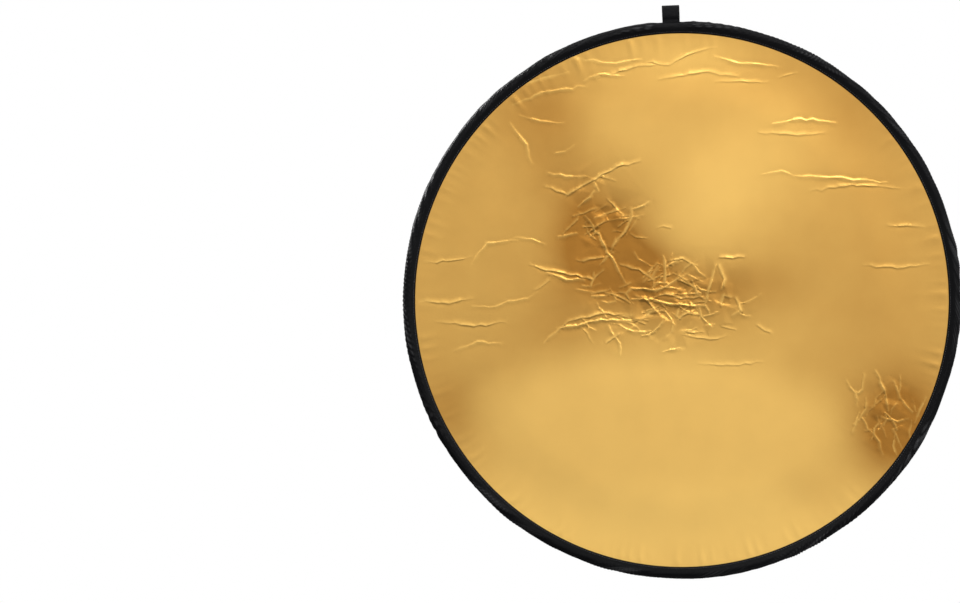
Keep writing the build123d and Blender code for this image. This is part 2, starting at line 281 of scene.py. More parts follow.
class Graph:
    """The nodes of a material or of the world, and short ways to add more."""

    def __init__(self, owner):
        self.nodes = owner.node_tree.nodes
        self.link = owner.node_tree.links.new

    def add(self, kind, **inputs):
        node = self.nodes.new("ShaderNode" + kind)
        for name, value in inputs.items():
            node.inputs[name.replace("_", " ")].default_value = value
        return node

    def attribute(self, name):
        node = self.add("Attribute")
        node.attribute_name = name
        return node.outputs

    def place(self, cloth):
        """Where a pattern lies: on the cloth's own coordinates, or in the object's space."""
        return self.attribute("cloth")["Vector"] if cloth else self.add("TexCoord").outputs["Object"]

    def stripes(self, where, direction, pitch, distortion=0.0):
        """Threads of the given pitch, in metres, across one direction."""
        wave = self.add("TexWave", Scale=TURN / (20 * pitch), Distortion=distortion, Detail_Scale=0.1)
        wave.bands_direction = direction
        self.link(where, wave.inputs["Vector"])
        return wave.outputs["Fac"]

    def noise(self, where, size, detail=3.0, roughness=0.5):
        """Noise whose features are about size metres across."""
        tex = self.add("TexNoise", Scale=1 / size, Detail=detail, Roughness=roughness)
        self.link(where, tex.inputs["Vector"])
        return tex.outputs["Fac"]

    def bump(self, height, distance, strength, under=None):
        node = self.add("Bump", Distance=distance, Strength=strength)
        self.link(height, node.inputs["Height"])
        if under:
            self.link(under, node.inputs["Normal"])
        return node.outputs["Normal"]

    def math(self, operation, first, second):
        """A Math node on two sockets, or on a socket and a number."""
        node = self.add("Math")
        node.operation = operation
        for socket, value in zip(node.inputs, (first, second)):
            if isinstance(value, (int, float)):
                socket.default_value = value
            else:
                self.link(value, socket)
        return node.outputs[0]

    def remap(self, value, low, high, to_low, to_high):
        node = self.add("MapRange", From_Min=low, From_Max=high, To_Min=to_low, To_Max=to_high)
        self.link(value, node.inputs["Value"])
        return node.outputs["Result"]

    def mix(self, factor, first, second):
        """A mix of two colours, each a socket or a tuple."""
        node = self.add("Mix")
        node.data_type = "RGBA"
        self.link(factor, node.inputs["Factor"])
        sockets = [socket for socket in node.inputs if socket.type == "RGBA"]
        for socket, color in zip(sockets, (first, second)):
            if isinstance(color, tuple):
                socket.default_value = (*color, 1)
            else:
                self.link(color, socket)
        return next(socket for socket in node.outputs if socket.type == "RGBA")

    def weave(self, where, pitch, second="Z"):
        """Crossed threads, as a height from 0 to 1."""
        return self.math("MAXIMUM", self.stripes(where, "X", pitch), self.stripes(where, second, pitch))

    def blend(self, share, first, second, output):
        """Mixes two shaders by share, which is a socket or a number, into the output."""
        node = self.add("MixShader")
        if isinstance(share, float):
            node.inputs["Fac"].default_value = share
        else:
            self.link(share, node.inputs["Fac"])
        self.link(first, node.inputs[1])
        self.link(second, node.inputs[2])
        self.link(node.outputs["Shader"], self.nodes[output].inputs["Surface"])


class Material(Graph):
    """A Principled material. Sockets that are the same all over are set on the shader itself."""

    def __init__(self, name, color, roughness, **sockets):
        self.data = bpy.data.materials.new(name)
        self.data.use_nodes = True
        super().__init__(self.data)
        self.shader = self.nodes["Principled BSDF"]
        for socket, value in {"Base_Color": (*color, 1), "Roughness": roughness, **sockets}.items():
            self.shader.inputs[socket.replace("_", " ")].default_value = value

    def drive(self, **sockets):
        """Links outputs to the shader's sockets."""
        for socket, value in sockets.items():
            self.link(value, self.shader.inputs[socket.replace("_", " ")])


def foil_material(name, bright, dark, roughness):
    """Metal foil on thin cloth. An attribute on the mesh, a painted reflection, runs the colour from the
    bright one to the dark one.
    """
    m = Material(name, bright, roughness, Metallic=1.0)
    where = m.place(cloth=False)
    mottle = m.remap(m.noise(where, 45 * MM, 4.0), 0.3, 0.7, -0.025, 0.025)
    # Painted reflection: the mesh attribute, plus a little random mottle, takes the colour towards the dark
    # one
    dull = m.math("ADD", m.attribute("painted_reflection")["Fac"], mottle)
    rough = m.remap(m.noise(where, 35 * MM, 5.0), 0.3, 0.7, roughness - 0.02, roughness + 0.03)
    threads = m.bump(m.weave(where, 0.9 * MM), 0.05 * MM, 0.35)
    ripples = m.bump(m.noise(where, 11 * MM, 3.0, 0.55), 0.1 * MM, 0.35, threads)
    m.drive(Base_Color=m.mix(dull, bright, dark), Roughness=rough, Normal=ripples)
    return m.data


def cloth_material(name, color, roughness, pitch, deep=0.12 * MM, cloth=False, variation=0.12, **sockets):
    """Plain woven nylon, of the given thread pitch, whose threads stand deep metres high."""
    m = Material(name, color, roughness, **{"Sheen_Roughness": 0.4, "Specular_IOR_Level": 0.25, **sockets})
    where = m.place(cloth)
    threads = m.weave(where, pitch, "Y" if cloth else "Z")
    low = tuple(c * (1 - variation) for c in color)
    high = tuple(min(1.0, c * (1 + variation)) for c in color)
    gaps = tuple(c * 0.72 for c in color)
    base = m.mix(m.noise(where, 25 * MM, 4.0), low, high)
    weave = m.bump(threads, deep, 0.5)
    m.drive(
        Base_Color=m.mix(m.remap(threads, 0.25, 0.7, 0.0, 1.0), gaps, base),
        Normal=m.bump(m.noise(where, 9 * MM), 0.25 * MM, 0.4, weave),
    )
    return m.data


def binding_material():
    """Black grosgrain tape: fine ribs across, with a painted highlight in grey where its gathers stand
    highest.
    """
    deep = (0.0028, 0.0028, 0.0032)
    m = Material("black_binding_tape", deep, 0.36, Specular_IOR_Level=0.06)
    where = m.place(cloth=True)
    ribs = m.stripes(where, "X", 0.9 * MM, 0.6)
    fibres = m.noise(where, 2.5 * MM, 4.0, 0.7)
    crests = m.remap(m.attribute("lift")["Fac"], 0.7, 2.0, 0.0, 1.0)
    # Painted highlight: lighter grey painted on the highest crests of the gathers, broken by the ribs
    painted_highlight = m.math("MULTIPLY", crests, m.remap(ribs, 0.2, 0.9, 0.15, 1.0))
    m.drive(
        Base_Color=m.mix(painted_highlight, deep, (0.05, 0.05, 0.052)),
        Roughness=m.remap(fibres, 0.3, 0.7, 0.3, 0.44),
        Normal=m.bump(fibres, 0.1 * MM, 0.5, m.bump(ribs, 0.14 * MM, 0.6)),
    )
    return m.data


def webbing_material():
    """Ribbed black webbing, with a herringbone of slanted threads in each rib."""
    m = Material("black_webbing", (0.005, 0.005, 0.0055), 0.42, Specular_IOR_Level=0.08)
    where = m.place(cloth=True)
    ribs = m.stripes(where, "X", 1.5 * MM, 0.4)
    threads = m.math("MULTIPLY", ribs, m.stripes(where, "DIAGONAL", 0.7 * MM))
    m.drive(
        Base_Color=m.mix(threads, (0.0025, 0.0025, 0.003), (0.009, 0.009, 0.01)),
        Normal=m.bump(threads, 0.25 * MM, 0.7),
    )
    return m.data


def diffuser_material():
    """Thin white nylon that lets light through."""
    m = Material("diffuser_cloth", (0.8, 0.8, 0.8), 0.7, Specular_IOR_Level=0.2)
    threads = m.weave(m.place(cloth=False), 0.7 * MM)
    m.drive(
        Base_Color=m.mix(threads, (0.7, 0.7, 0.71), (0.8, 0.8, 0.8)), Normal=m.bump(threads, 0.06 * MM, 0.4)
    )
    through = m.add("BsdfTranslucent", Color=(0.8, 0.8, 0.79, 1))
    m.blend(0.45, m.shader.outputs["BSDF"], through.outputs["BSDF"], "Material Output")
    return m.data


def metal_material(name, color, roughness, grain, brushed=False):
    """Cast or brushed metal, with small scratches and dull patches."""
    m = Material(name, color, roughness, Metallic=1.0)
    where = m.place(cloth=False)
    marks = m.noise(where, grain, 5.0, 0.65)
    height = m.stripes(where, "Y", 0.25 * MM, 3.0) if brushed else marks
    m.drive(
        Base_Color=m.mix(marks, color, tuple(min(1.0, c * 1.5) for c in color)),
        Roughness=m.remap(marks, 0.3, 0.7, roughness - 0.08, roughness + 0.12),
        Normal=m.bump(height, 0.03 * MM, 0.4),
    )
    return m.data


def coil_material():
    """Satin black nylon coil."""
    color = (0.02, 0.02, 0.021)
    m = Material("zip_coil_nylon", color, 0.38)
    grain = m.noise(m.place(cloth=False), 1.2 * MM)
    m.drive(
        Base_Color=m.mix(grain, color, (0.045, 0.045, 0.047)), Roughness=m.remap(grain, 0.3, 0.7, 0.3, 0.48)
    )
    return m.data


def thread_material(name, color):
    """Twisted sewing thread."""
    m = Material(name, color, 0.55, Sheen_Weight=0.3)
    twist = m.stripes(m.place(cloth=False), "DIAGONAL", 0.5 * MM)
    m.drive(
        Base_Color=m.mix(twist, tuple(c * 0.6 for c in color), color), Normal=m.bump(twist, 0.05 * MM, 0.5)
    )
    return m.data


GOLD = foil_material("gold_foil", (0.905, 0.566, 0.151), (0.363, 0.16, 0.0272), 0.36)
SILVER = foil_material("silver_foil", (0.72, 0.73, 0.76), (0.4, 0.4, 0.43), 0.34)
WHITE = cloth_material("white_nylon", (0.79, 0.79, 0.81), 0.7, 0.8 * MM, variation=0.03, Sheen_Weight=0.05)
BLACK = cloth_material(
    "black_nylon", (0.009, 0.009, 0.0095), 0.36, 0.8 * MM, Sheen_Weight=0.02, Specular_IOR_Level=0.5
)
TAPE = cloth_material("zip_tape_weave", (0.009, 0.009, 0.01), 0.55, 0.7 * MM, 0.2 * MM, cloth=True)
BINDING_TAPE = binding_material()
WEBBING_WEAVE = webbing_material()
DIFFUSER = diffuser_material()
COIL = coil_material()
BLACK_THREAD = thread_material("black_thread", (0.035, 0.035, 0.037))
GUNMETAL = metal_material("zip_gunmetal", (0.13, 0.13, 0.14), 0.34, 3 * MM)
STEEL = metal_material("spring_steel", (0.52, 0.53, 0.55), 0.3, 8 * MM, brushed=True)


# Cloth faces, with their creases


class Creases:
    """Sharp folds in a foil, as short straight runs, each with a height, a width and a steeper side."""

    GENTLE = 2.6
    RUN = 9 * MM
    WANDER = 0.8 * MM
    SPACING = 2.2 * MM

    def __init__(self):
        self.runs = []

    def route(self, rng, points, height, width=1.8 * MM):
        """A fold through the given points, never quite straight."""
        points = np.array(points, float)
        lengths = np.linalg.norm(np.diff(points, axis=0), axis=1)
        whole = lengths.sum()
        side = rng.choice([-1, 1])
        gone = 0.0
        for a, b, length in zip(points, points[1:], lengths):
            runs = max(1, round(length / self.RUN))
            inner = a + (b - a) * np.linspace(0, 1, runs + 1)[1:-1, None]
            inner = inner + rng.normal(0, self.WANDER, inner.shape)
            way = np.concatenate([[a], inner, [b]])
            for start, end in zip(way, way[1:]):
                gone += np.linalg.norm(end - start)
                taper = math.sin(math.pi * min(0.95, max(0.05, (gone - 4 * MM) / whole)))
                size = height * (0.2 + 0.8 * taper) * rng.uniform(0.6, 1.25)
                self.runs.append((start, end, size, width * rng.uniform(0.75, 1.2), side))

    def scatter(self, rng, points, heading, spread, height, longest):
        """Short folds at the points, most of them near one heading in degrees."""
        for point in points:
            turn = math.radians(rng.normal(heading, spread))
            length = longest * rng.uniform(0.3, 1.0)
            step = length / 2 * np.array([math.cos(turn), math.sin(turn)])
            bend = rng.normal(0, 0.12 * length, 2)
            way = (point - step, point + bend, point + step)
            self.route(rng, way, height * rng.uniform(0.4, 1.0), 1.5 * MM)

    def seams(self, spots, triangles):
        """Flat folds along the triangles' sides, so that the mesh follows the facets."""
        for tri in triangles:
            for i, j in zip(tri, tri[1:] + tri[:1]):
                if i < j:
                    self.runs.append((spots[i], spots[j], 0.0, 1.2 * MM, 1))

    def points(self):
        """Points along and beside every fold, so that the mesh follows it."""
        out = []
        for a, b, h, w, side in self.runs:
            length = np.linalg.norm(b - a)
            along = (b - a) / length
            across = side * np.array([-along[1], along[0]])
            offsets = (-self.GENTLE, -1.3, -0.5, 0.0, 0.45, 1.0, 1.9) if h else (0.0,)
            for t in np.linspace(0, 1, max(2, round(length / self.SPACING) + 1)):
                for offset in offsets:
                    out.append(a + (b - a) * t + across * offset * w)
        return np.array(out).reshape(-1, 2)

    def relief(self, p):
        """How far the folds raise each point: steep on one side, gentle on the other, hollow beside."""
        total = np.zeros(len(p))
        order = np.argsort(p[:, 0])
        xs = p[order, 0]
        for a, b, h, w, side in self.runs:
            if not h:
                continue
            along = b - a
            x, z = (a + b) / 2
            reached = np.linalg.norm(along) / 2 + 4 * w
            near = order[slice(*np.searchsorted(xs, (x - reached, x + reached)))]
            near = near[np.abs(p[near, 1] - z) < reached]
            if not len(near):
                continue
            offset = p[near] - a
            t = np.clip(offset @ along / (along @ along), 0, 1)
            away = offset - t[:, None] * along
            steep = side * (along[0] * away[:, 1] - along[1] * away[:, 0]) > 0
            d = np.linalg.norm(away, axis=1) / (w * np.where(steep, 1.0, self.GENTLE))
            rise = h * (np.clip(1 - d, 0, 1) ** 1.3 - 0.25 * np.exp(-((d - 1.6) ** 2) / 0.4))
            swap = np.abs(rise) > np.abs(total[near])
            total[near[swap]] = rise[swap]
        return total


def facets(p, spots, triangles, heights):
    """The height of each point on the flat triangles between spots of those heights."""
    total = np.zeros(len(p))
    for tri in triangles:
        a, b, c = (spots[i] for i in tri)
        m = np.array([b - a, c - a]).T
        if abs(np.linalg.det(m)) < 1e-12:
            continue
        uv = (p - a) @ np.linalg.inv(m).T
        inside = (uv[:, 0] >= 0) & (uv[:, 1] >= 0) & (uv.sum(axis=1) <= 1)
        ha, hb, hc = (heights[i] for i in tri)
        total[inside] = ha + uv[inside, 0] * (hb - ha) + uv[inside, 1] * (hc - ha)
    return total


def ellipse(p, x, z, wide, tall, heading=0.0):
    """A soft spot: 1 at (x, z), falling off over wide and tall, all in metres, turned by heading."""
    turn = math.radians(heading)
    dx, dz = p[:, 0] - x, p[:, 1] - z
    u = (dx * math.cos(turn) + dz * math.sin(turn)) / wide
    v = (-dx * math.sin(turn) + dz * math.cos(turn)) / tall
    return np.exp(-0.5 * (u * u + v * v))


def disc_points(radius, pitch, extra):
    """Points over a disc: fine rings by its rim, a triangular grid inside, and the extra points."""
    band = 30 * MM
    close = 3.2 * MM
    rings = []
    for i, r in enumerate(np.arange(radius, radius - band, -close)):
        turn = np.linspace(0, TURN, round(TURN * radius / close), endpoint=False)
        turn = turn + i % 2 * close / radius / 2
        rings.append(r * np.stack([np.sin(turn), -np.cos(turn)], 1))
    rows = math.ceil(radius / (pitch * math.sqrt(0.75)))
    grid = []
    for i in range(-rows, rows + 1):
        shift = pitch / 2 * (i % 2)
        xs = np.arange(-radius - pitch, radius + pitch, pitch) + shift
        grid.append(np.stack([xs, np.full(len(xs), i * pitch * math.sqrt(0.75))], 1))
    grid = np.concatenate(grid)
    grid = grid[np.hypot(*grid.T) < radius - band - 0.4 * pitch]
    extra = extra[np.hypot(*extra.T) < radius - 0.5 * close]
    together = np.concatenate([*rings, extra, grid])
    cell = 0.55 * MM
    _, first = np.unique(np.round(together / cell).astype(int), axis=0, return_index=True)
    return together[np.sort(first)]


def face_cloth(name, material, radius, y, outward, relief, pitch=5 * MM, creases=None, painted_reflection=None):
    """A thin cloth disc, raised from y by relief(points) towards outward (-1 or 1 along y)."""
    p = disc_points(radius, pitch, creases.points() if creases else np.zeros((0, 2)))
    found = geometry.delaunay_2d_cdt([Vector(q) for q in p], [], [], 0, 1e-7)
    flat = np.array([list(q) for q in found[0]])
    rise = relief(flat)
    front = np.stack([flat[:, 0], y + outward * rise, flat[:, 1]], 1)
    back = front - np.array([0, outward * CLOTH, 0])
    count = len(flat)
    faces = [tuple(f) for f in found[2]]
    edges = {}
    for f in faces:
        for a, b in zip(f, f[1:] + f[:1]):
            edges[frozenset((a, b))] = None if frozenset((a, b)) in edges else (a, b)
    walls = [(b, a, a + count, b + count) for a, b in filter(None, edges.values())]
    every = faces + [tuple(i + count for i in reversed(f)) for f in faces] + walls
    obj = add_mesh(name, np.concatenate([front, back]), every, material)
    # The painted reflection of a foil face, stored for its material; plain faces get none
    shade = np.zeros(count) if painted_reflection is None else painted_reflection(flat)
    store(obj, "painted_reflection", "FLOAT", "POINT", np.tile(shade, 2))
    return obj


def held_edge(p, radius, band):
    """0 where the cloth is sewn into the rim, 1 inside the band next to it."""
    return 1 - smoothstep(radius - band, radius - 6 * MM, np.hypot(*p.T))


def edge_puckers(p, seed, radius, height):
    """Small pleats that run in from the sewn edge, and fade out over their reach."""
    reach_in = 16 * MM
    rng = np.random.default_rng(seed)
    r = np.hypot(*p.T)
    angle = np.arctan2(p[:, 0], -p[:, 1])
    pleats = periodic_noise(rng, 70, 190, 12)(angle) * periodic_noise(rng, 4, 17, 6)(angle)
    near = np.exp(-np.clip(radius - 8 * MM - r, 0, None) / reach_in)
    return height * np.clip(pleats, -0.3, 2.5) * near * smoothstep(radius - 1 * MM, radius - 12 * MM, r)


# The gold face's main folds, in millimetres: the height of each, then x and z of the points it runs through
GOLD_FOLDS = (
    (0.5, -190, 170, -158, 157, -133, 171, -111, 182, -90, 175),
    (0.5, -121, 178, -86, 195, -53, 202),
    (0.4, -121, 178, -114, 162),
    (0.45, -121, 161, -144, 140),
    (0.3, -185, 190, -160, 184, -125, 182),
    (0.6, -134, 126, -112, 91, -93, 56, -80, 28),
    (0.45, -174, 98, -148, 102),
    (0.4, -101, 148, -81, 126),
    (0.55, -67, 133, -67, 122, -77, 101, -91, 90, -99, 74),
    (0.45, -67, 133, -43, 143),
    (0.5, -216, 59, -194, 50, -150, 42, -127, 34, -111, 47),
    (0.4, -192, 47, -165, 36, -132, 35),
    (0.35, -147, 62, -97, 66),
    (0.35, -209, 23, -190, 36),
    (0.4, -93, 56, -60, 46, -40, 30, -37, 16),
    (0.6, -81, 12, -73, 20, -37, 16, -23, 20, 10, 39),
    (0.5, -23, 20, -22, 48, -24, 64),
    (0.45, -22, 48, -1, 61),
    (0.4, -43, 33, -33, 51),
    (0.6, -72, 4, -49, 4, -17, -5, 33, -9, 40, -23),
    (0.55, 32, -9, 41, 18, 50, 48),
    (0.4, 57, 59, 91, 58),
    (0.45, 54, 48, 62, 27, 57, 13),
    (0.4, 56, -12, 60, 4, 70, 1),
    (0.4, 77, -1, 83, -18, 72, -24),
    (0.35, -129, 11, -103, 12),
    (0.6, -200, -53, -176, -33, -142, -28, -118, -23, -50, -27),
    (0.5, -180, -35, -164, -24, -116, -15, -73, -20),
    (0.4, -59, -24, -45, -15, -24, -12),
    (0.45, -40, 5, -23, 9, -1, 2, 31, 3),
    (0.4, -15, -18, -4, -27, 8, -19, 30, -24),
    (0.35, -100, -30, -72, -42, -40, -44),
    (0.4, -8, 30, 14, 20, 30, 3),
    (0.25, 0, -50, 38, -58, 60, -54),
    (0.25, 20, -92, 70, -96, 112, -93),
    (0.3, -300, 64, -276, 93, -233, 95),
    (0.35, -376, 12, -335, 8, -300, 14),
    (0.35, -352, -18, -300, -26, -255, -22),
    (0.25, -330, -60, -296, -48, -262, -52),
    (0.35, -262, 318, -205, 322, -150, 334),
    (0.35, -232, 290, -190, 306, -128, 312),
    (0.35, -150, 356, -90, 344, -46, 348),
    (0.3, -110, 322, -60, 336, -20, 340),
    (0.3, -20, 318, 40, 326, 92, 318),
    (0.3, 60, 348, 100, 336, 150, 330),
    (0.3, -236, 262, -214, 232, -208, 205),
    (0.35, 140, 248, 180, 254, 230, 246),
    (0.3, 120, 236, 175, 230, 212, 232),
    (0.35, 165, 172, 225, 168, 300, 158),
    (0.3, 190, 150, 250, 156, 318, 148),
    (0.3, 300, 96, 350, 92),
    (0.25, 262, 40, 310, 34, 356, 38),
    (0.4, 274, -112, 286, -140, 290, -170),
    (0.4, 300, -128, 308, -152),
    (0.35, 280, -178, 302, -186, 318, -182),
    (0.35, 296, -196, 308, -224),
    (0.3, 262, -196, 276, -214, 280, -232),
)

# Its lighter folds, most of them near the rim, in the same form
GOLD_LINES = (
    (0.4, -368, 69, -334, 69, -312, 71, -299, 74),
    (0.35, -302, 3, -268, 1, -250, 8, -222, 11, -208, 20),
    (0.35, -236, 99, -212, 96, -194, 88),
    (0.3, -222, 274, -194, 265, -161, 261),
    (0.4, -128, 320, -106, 329, -72, 325),
    (0.4, -38, 343, -4, 338, 20, 351, 40, 357, 64, 361),
    (0.3, 60, 311, 98, 311, 134, 308),
    (0.25, 152, 314, 178, 320),
    (0.25, 122, 176, 150, 180, 168, 172),
)

# Painted reflection on the gold foil, painted darker there, or lighter for a negative strength: x, z, width,
# height, heading and strength, in millimetres
GOLD_PAINTED_REFLECTION = (
    (-110, 92, 36, 50, -52, 0.52),
    (-136, 142, 24, 30, 0, 0.14),
    (-84, 44, 50, 34, -30, 0.44),
    (-54, 64, 44, 20, -12, 0.3),
    (-10, 6, 60, 26, -8, 0.14),
    (62, 20, 66, 26, 4, 0.24),
    (-166, -14, 42, 42, 0, 0.16),
    (-165, 190, 42, 70, 10, 0.18),
    (-198, 285, 48, 40, 10, 0.22),
    (-75, 256, 48, 36, 0, -0.14),
    (98, 210, 100, 60, 12, -0.22),
    (46, 124, 70, 50, 20, -0.27),
    (10, 350, 70, 24, 0, -0.2),
    (205, 300, 80, 44, -20, 0.12),
    (250, 240, 60, 60, 0, 0.12),
    (290, 30, 50, 150, 0, 0.08),
    (136, -64, 46, 22, 0, -0.1),
    (304, -186, 38, 46, -22, 0.6),
    (258, -228, 40, 42, -30, 0.22),
    (182, -286, 40, 30, -30, 0.16),
    (-325, -172, 30, 52, 24, 0.36),
    (-330, -40, 40, 80, 0, -0.04),
    (0, -318, 210, 46, 0, -0.2),
)


def spread_points(rng, count, middle, size, heading):
    """Random points that gather round the middle, in an ellipse turned by heading."""
    turn = math.radians(heading)
    u, v = rng.normal(0, size[0], count), rng.normal(0, size[1], count)
    x = middle[0] + u * math.cos(turn) - v * math.sin(turn)
    return np.stack([x, middle[1] + u * math.sin(turn) + v * math.cos(turn)], 1)


def crumpled_foil(rng, folds, clusters):
    """The folds of a foil face, and a function for how they and the facets between them raise it.

    A cluster is its count of folds, x, z, width, height, heading, fold height and facet height.
    """
    creases = Creases()
    for height, *way in folds:
        creases.route(rng, np.reshape(way, (-1, 2)) * MM, 1.35 * height * MM)
    nets = []
    for count, x, z, wide, tall, heading, height, facet in clusters:
        middle = np.array([x, z]) * MM
        near = spread_points(rng, count, middle, np.array([0.8 * wide, 0.8 * tall]) * MM, heading)
        creases.scatter(rng, near, heading, 32, height * MM, 44 * MM)
        corners = spread_points(rng, 3 * count, middle, np.array([wide, tall]) * MM, heading)
        found = geometry.delaunay_2d_cdt([Vector(p) for p in corners], [], [], 0, 1e-6)
        spots = np.array([list(p) for p in found[0]])
        creases.seams(spots, found[2])
        away = np.hypot(*((spots - middle) / (wide, tall)).T) / MM
        heights = rng.uniform(-1, 1, len(spots)) * np.exp(-0.8 * away**2) * facet * MM
        nets.append((spots, found[2], heights))

    def relief(p):
        total = creases.relief(p)
        for net in nets:
            total += facets(p, *net)
        return total

    return creases, relief


def front_shape(p):
    """The smooth shape of the stretched front, forward of its seat: a low crown with slack hollows."""
    crown = 4.0 * MM * (1 - (np.hypot(*p.T) / FACE_R) ** 2)
    waves = (
        -1.6 * MM * ellipse(p, -0.118, 0.10, 0.055, 0.085, 30)
        - 0.8 * MM * ellipse(p, 0.30, -0.16, 0.04, 0.07, -20)
        + 1.2 * MM * ellipse(p, 0.10, 0.21, 0.11, 0.12)
        + 0.9 * MM * ellipse(p, -0.02, -0.21, 0.20, 0.11)
        + 0.6 * MM * ellipse(p, -0.27, 0.02, 0.06, 0.16)
        + 0.5 * MM * ellipse(p, 0.24, 0.05, 0.05, 0.14, 15)
    )
    return (crown + waves) * held_edge(p, FRONT_HELD_R, 100 * MM)


def back_shape(p):
    """The smooth shape of the stretched back."""
    crown = 3.6 * MM * (1 - (np.hypot(*p.T) / BACK_FACE_R) ** 2)
    return crown * held_edge(p, BACK_HELD_R, 40 * MM)


def gold_painted_reflection(p):
    """How dark the foil is painted, as a painted reflection: a darker stretch across the middle, with a
    bright lower half.
    """
    low_half = np.hypot((p[:, 0] + 0.06) / 0.325, (p[:, 1] + 0.30) / 0.225)
    total = 0.185 + 0.37 * smoothstep(0.86, 1.22, low_half)
    for x, z, wide, tall, heading, strength in GOLD_PAINTED_REFLECTION:
        total += strength * ellipse(p, x * MM, z * MM, wide * MM, tall * MM, heading)
    return np.clip(total, 0, 1)


def gold_face():
    rng = np.random.default_rng(11)
    clusters = (
        (58, -12, -2, 86, 42, -4, 0.6, 1.5),
        (20, -116, 120, 42, 58, 20, 0.5, 1.4),
        (22, 294, -176, 26, 48, 70, 0.6, 1.2),
    )
    creases, folded = crumpled_foil(rng, GOLD_FOLDS, clusters)
    for height, *way in GOLD_LINES:
        creases.route(rng, np.reshape(way, (-1, 2)) * MM, height * MM, 1.5 * MM)

    def relief(p):
        inside = held_edge(p, FRONT_HELD_R, 30 * MM)
        return front_shape(p) + folded(p) * inside + edge_puckers(p, 5, FACE_R, 0.3 * MM)

    def painted_reflection(p):
        # Painted highlight: the folds' crests are painted lighter, as if they catch the light
        crests = np.clip(creases.relief(p) / (0.55 * MM), 0, 1)
        return np.clip(gold_painted_reflection(p) - 0.4 * crests, 0, 1)

    obj = face_cloth("gold_foil_face", GOLD, FACE_R, GOLD_Y, -1, relief, creases=creases, painted_reflection=painted_reflection)
    assign(obj, "front_cover", "gold_cloth", "gold_front_panel")


def silver_face():
    rng = np.random.default_rng(23)
    folds = []
    for _ in range(34):
        x, z = rng.uniform(-260, 260, 2)
        turn = rng.normal(0, 0.6)
        half = rng.uniform(20, 60)
        dx, dz = math.cos(turn) * half, math.sin(turn) * half
        folds.append((0.3, x, z, x + dx, z + dz + rng.normal(0, 8), x + 2 * dx, z + dz))
    clusters = ((20, -160, -60, 50, 60, 80, 0.4, 0.4), (12, 140, 120, 60, 50, 20, 0.35, 0.3))
    creases, folded = crumpled_foil(rng, folds, clusters)

    def relief(p):
        inside = held_edge(p, FRONT_HELD_R, 30 * MM)
        return (1.2 * MM + np.clip(folded(p), -0.3 * MM, 0.5 * MM)) * inside - front_shape(p)

    def painted_reflection(p):
        # Painted reflection: two darker patches painted on the silver foil
        return 0.3 * ellipse(p, -0.16, -0.06, 0.09, 0.1) + 0.2 * ellipse(p, 0.14, 0.12, 0.1, 0.08)

    obj = face_cloth("silver_foil_face", SILVER, FACE_R, SILVER_Y, 1, relief, 7 * MM, creases, painted_reflection)
    assign(obj, "front_cover", "silver_cloth", "silver_inner_panel")


def soft_wrinkles(seed, heading, height, count=46, length=150 * MM, width=7 * MM, dip=0.6 * MM):
    """Rounded wrinkles that mostly run one way, as an unlined nylon face has. None is deeper than dip."""
    rng = np.random.default_rng(seed)
    spots = rng.uniform(-0.36, 0.36, (count, 2))
    turns = rng.normal(heading, 14, count)
    lengths = length * rng.uniform(0.4, 1.3, count)
    widths = width * rng.uniform(0.6, 1.6, count)
    heights = height * rng.uniform(-1, 1, count)

    def relief(p):
        total = np.zeros(len(p))
        for (x, z), turn, long, wide, high in zip(spots, turns, lengths, widths, heights):
            total += high * ellipse(p, x, z, long / 2.5, wide, turn)
        return np.where(total < 0, dip * np.tanh(total / dip), total)

    return relief


def white_face():
    wrinkles = soft_wrinkles(31, 14, 1.7 * MM, count=80, width=6 * MM)

    def relief(p):
        inside = held_edge(p, BACK_HELD_R, 40 * MM)
        return back_shape(p) + wrinkles(p) * inside + edge_puckers(p, 6, BACK_FACE_R, 0.25 * MM)

    obj = face_cloth("white_face", WHITE, BACK_FACE_R, WHITE_Y, 1, relief)
    assign(obj, "back_cover", "white_cloth", "white_back_panel")


def black_face():
    wrinkles = soft_wrinkles(37, 38, 2.0 * MM, count=120, width=5.5 * MM)

    def relief(p):
        inside = held_edge(p, BACK_HELD_R, 40 * MM)
        return (1.2 * MM + np.minimum(wrinkles(p), 2.1 * MM)) * inside - back_shape(p)

    obj = face_cloth("black_face", BLACK, BACK_FACE_R, BLACK_Y, -1, relief)
    assign(obj, "back_cover", "black_cloth", "black_inner_panel")


def diffuser_face():
    wrinkles = soft_wrinkles(41, 80, 0.35 * MM, count=30)

    def relief(p):
        inside = held_edge(p, CASING_FLANGE_R, 30 * MM)
        return wrinkles(p) * inside + edge_puckers(p, 8, CASING_FLANGE_R, 0.2 * MM)

    y = depth("diffuser_fabric")[0]
    obj = face_cloth("diffuser_cloth", DIFFUSER, DIFFUSER_R, y, -1, relief, 6 * MM)
    assign(obj, "diffuser", "diffuser_cloth", "diffuser_fabric")


# The rim


def pucker_field(seed, height, low, high, slant):
    """Gathers round a binding: rounded hills and sharp valleys, slanted across its width."""
    rng = np.random.default_rng(seed)
    coarse = periodic_noise(rng, low, high, 14)
    fine = periodic_noise(rng, 2 * low, 2 * high, 10)
    patches = periodic_noise(rng, 5, 23, 8)
    lean = periodic_noise(rng, 3, 9, 4)

    def value(angle, across):
        turned = angle + slant * (1 + 0.5 * lean(angle)) * across
        hills = np.abs(coarse(turned)) ** 0.8 + 0.35 * np.abs(fine(turned))
        return height * hills * (0.72 + 0.28 * patches(angle))

    return value


